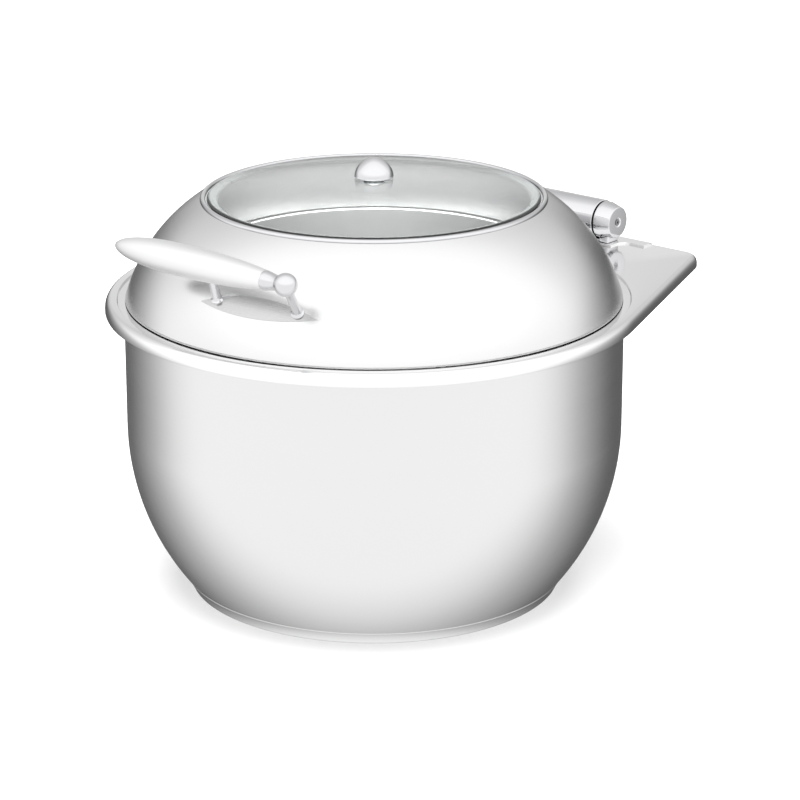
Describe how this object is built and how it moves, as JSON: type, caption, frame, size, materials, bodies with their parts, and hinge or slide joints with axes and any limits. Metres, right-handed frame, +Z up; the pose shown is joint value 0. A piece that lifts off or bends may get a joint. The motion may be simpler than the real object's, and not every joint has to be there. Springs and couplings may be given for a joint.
{
  "type": "soup kettle",
  "caption": "Round buffet soup kettle: satin steel water pan on an induction base, lift-out soup pot, and a hinged domed lid with a glass window.",
  "frame": {"origin": "centre of the underside of the base disc, on the round pan's own axis", "axes": "+Z up, +Y to the rear where the hinge is, +X to the right seen from the front (handle side)"},
  "size_m": [0.412, 0.459, 0.3375],
  "materials": {
    "satin_steel": "satin brushed stainless steel",
    "polished_steel": "mirror-polished stainless steel",
    "frame_steel": "satin-chromed stainless steel",
    "base_steel": "fine-turned stainless steel on an induction disc",
    "pot_steel": "drawn and fine-brushed stainless steel",
    "blasted_metal": "pearl-blasted satin metal",
    "fastener_steel": "plain turned steel",
    "plate_steel": "satin steel plate",
    "clear_silicone": "clear silicone",
    "window_glass": "clear tempered glass",
    "bearing_bronze": "sintered bronze",
    "damper_plastic": "black moulded plastic"
  },
  "bodies": {
    "base": {"induction_base": "base_steel", "water_pan": "satin_steel", "top_frame": "frame_steel", "lid_bumpers": "clear_silicone", "hinge_pad": "frame_steel", "hinge_backing_plate": "plate_steel", "hinge_bolts": "fastener_steel", "hinge_foot_left": "polished_steel", "hinge_foot_right": "polished_steel", "hinge_shaft": "fastener_steel", "hinge_damper_left": "damper_plastic", "hinge_damper_right": "damper_plastic", "thrust_washers": "damper_plastic", "hinge_cap_left": "polished_steel", "hinge_cap_right": "polished_steel", "hinge_cap_screws": "fastener_steel", "adapter_collar": "satin_steel"},
    "pot": {"soup_pot": "pot_steel"},
    "lid": {"lid_dome": "satin_steel", "window_ring": "polished_steel", "glass_gasket": "clear_silicone", "window_glass": "window_glass", "knob_cap": "polished_steel", "knob_stud": "fastener_steel", "knob_washers": "clear_silicone", "drip_boss": "polished_steel", "handle_plate": "plate_steel", "handle_post_left": "polished_steel", "handle_post_right": "polished_steel", "handle_grip": "blasted_metal", "grip_end_ball": "polished_steel", "handle_nuts": "fastener_steel", "hinge_barrel": "polished_steel", "hinge_bush_left": "bearing_bronze", "hinge_bush_right": "bearing_bronze", "hinge_arm": "polished_steel"}
  },
  "joints": [
    {"name": "lid_hinge", "type": "hinge", "parent": "base", "child": "lid", "pos_m": [0, 0.231, 0.2487], "axis": [-1, 0, 0], "range_deg": [0, 90]},
    {"name": "pot_lift", "type": "slide", "parent": "base", "child": "pot", "axis": [0, 0, 1], "range_m": [0, 0.025]}
  ]
}
